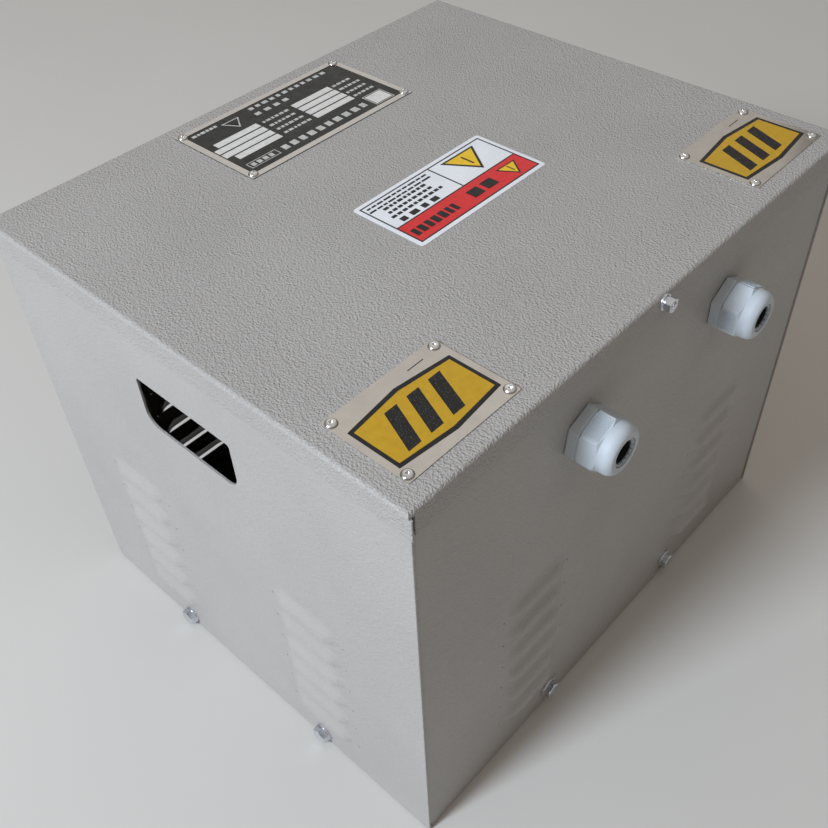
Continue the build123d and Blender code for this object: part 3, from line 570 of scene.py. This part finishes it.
def print_nameplate():
    """Rating plate: two blocks of blank fields, with dashes for every line of print."""
    top = RECESS_Z
    row_count, first_row, row_pitch, half_height = 4, 96.6, 6.4, 2.6
    long_start, short_start, left_end = -58.0, -53.6, -21.0
    right_start, right_end = 7.0, 38.0
    fields = []
    dash_rows = []
    for row in range(row_count):
        y = first_row + row * row_pitch
        start = long_start if row in (1, 2) else short_start
        fields.append(rect(start, left_end, y - half_height, y + half_height))
        fields.append(rect(right_start, right_end, y - half_height, y + half_height))
        dash_rows += dashes(-17.5, 3.5, y, 2.2, seed=40 + row, shortest=1.6, longest=3.6, gap=1.0)
        dash_rows += dashes(40.0, 57.0, y, 2.2, seed=50 + row, shortest=1.6, longest=3.6, gap=1.0)
    print_layer("nameplate_fields", fields, top, 1, field_white)
    # Two framed boxes and two lines of print below the fields.
    dash_rows += dashes(-30.0, 37.0, 84.0, 5.0, seed=60, shortest=3.6, longest=5.0, gap=2.6)
    dash_rows += frame_rects(-55.6, -34.0, 80.8, 87.0, 0.5)
    dash_rows += dashes(-53.6, -35.6, 83.9, 3.4, seed=61, shortest=2.4, longest=3.4, gap=1.4)
    dash_rows += frame_rects(41.0, 56.4, 77.6, 91.0, 0.6)
    # Three lines of print above them, beside a plain triangle.
    dash_rows += dashes(-56.0, -38.0, 134.4, 2.4, seed=62, shortest=1.6, longest=3.0, gap=0.8)
    dash_rows += dashes(-12.5, 55.0, 134.4, 3.0, seed=63, shortest=2.6, longest=4.0, gap=2.2)
    dash_rows += dashes(-14.0, 12.0, 126.6, 3.4, seed=64, shortest=3.4, longest=4.6, gap=3.4)
    triangle = [(-35.5, 133.0), (-22.5, 133.0), (-29.0, 122.4)]
    print_layer("nameplate_triangle", [triangle], top, 1, silver_ink)
    print_layer("nameplate_triangle_field", [inset_triangle(triangle, 0.22)], top, 2, black_ink)
    print_layer("nameplate_dashes", dash_rows, top, 1, silver_ink)
    print_layer("nameplate_box", [rect(42.2, 55.2, 78.8, 89.8)], top, 1, field_white)


# ---------------------------------------------------------------- wound coils
TURN_PITCH = 1.5 * MM
TURN_BULGE = 0.42 * MM
COIL_WALL = 8.0 * MM
OUTER_CORNER = 14.3 * MM
INNER_CORNER = 8.0 * MM
CORNER_STEPS = 8


def rounded_loop(x0, x1, y0, y1, corner):
    """Points round a rectangle with round corners, anticlockwise."""
    points = []
    corners = ((x1, y1, 1, 1, 0), (x0, y1, -1, 1, 90), (x0, y0, -1, -1, 180), (x1, y0, 1, -1, 270))
    for x, y, sx, sy, start in corners:
        for step in range(CORNER_STEPS + 1):
            angle = radians(start + 90 * step / CORNER_STEPS)
            points.append((x - sx * corner + corner * cos(angle), y - sy * corner + corner * sin(angle)))
    return points


def wound_coil(node):
    """The winding's outer skin as rows of round wire, closed at its ends and bore."""
    low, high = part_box(node)
    turns = round((high.z - low.z) / TURN_PITCH)
    pitch = (high.z - low.z) / turns
    profile = []
    for turn in range(turns):
        for part in (0.0, 0.25, 0.5, 0.75):
            profile.append((-TURN_BULGE * (1 - sin(pi * part)), low.z + (turn + part) * pitch))
    profile.append((-TURN_BULGE, high.z))
    build = bmesh.new()
    rings = []
    for inset, z in profile:
        loop = rounded_loop(low.x - inset, high.x + inset, low.y - inset, high.y + inset, OUTER_CORNER)
        rings.append([build.verts.new((x, y, z)) for x, y in loop])
    inner = rounded_loop(
        low.x + COIL_WALL, high.x - COIL_WALL, low.y + COIL_WALL, high.y - COIL_WALL, INNER_CORNER
    )
    rings.append([build.verts.new((x, y, high.z)) for x, y in inner])
    rings.append([build.verts.new((x, y, low.z)) for x, y in inner])
    rings.append(rings[0])
    for lower, upper in zip(rings, rings[1:]):
        for k in range(len(lower)):
            following = (k + 1) % len(lower)
            build.faces.new((lower[k], lower[following], upper[following], upper[k]))
    bmesh.ops.recalc_face_normals(build, faces=build.faces)
    mesh = bpy.data.meshes.new(f"{node}_wire")
    build.to_mesh(mesh)
    build.free()
    mesh.materials.append(copper_wire)
    mesh.polygons.foreach_set("use_smooth", [True] * len(mesh.polygons))
    piece = bpy.data.objects.new(f"{node}_wire", mesh)
    scene.collection.objects.link(piece)
    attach(piece, "base")
    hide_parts(node)


# ---------------------------------------------------------------- build
def add_floor():
    half = FLOOR_SIZE / 2
    mesh = bpy.data.meshes.new("floor")
    corners = [(x, y, 0) for x, y in rect(-half, half, -half, half)]
    mesh.from_pydata(corners, [], [(0, 1, 2, 3)])
    shader = Shader("floor", Roughness=0.85, Specular_IOR_Level=0.2)
    mottled(shader, (0.61, 0.59, 0.56), (0.59, 0.57, 0.54), 3.0)
    mesh.materials.append(shader.material)
    floor = bpy.data.objects.new("floor", mesh)
    floor.location.z = -FLOOR_DROP
    scene.collection.objects.link(floor)


add_camera()
add_floor()
add_world(OVERHEAD, HORIZON)
for lamp_settings in LAMPS:
    add_area_light(*lamp_settings)
scene.view_settings.view_transform = "Standard"

dress_nodes()
print_label()
for plate_side in ("left", "right"):
    plate_low, plate_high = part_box(f"{plate_side}_mark_plate")
    plate_centre = (plate_low + plate_high) / (2 * MM)
    print_mark_plate(plate_side, plate_centre.x, plate_centre.y)
print_nameplate()
for coil in ("left", "middle", "right"):
    wound_coil(f"{coil}_hv_winding")
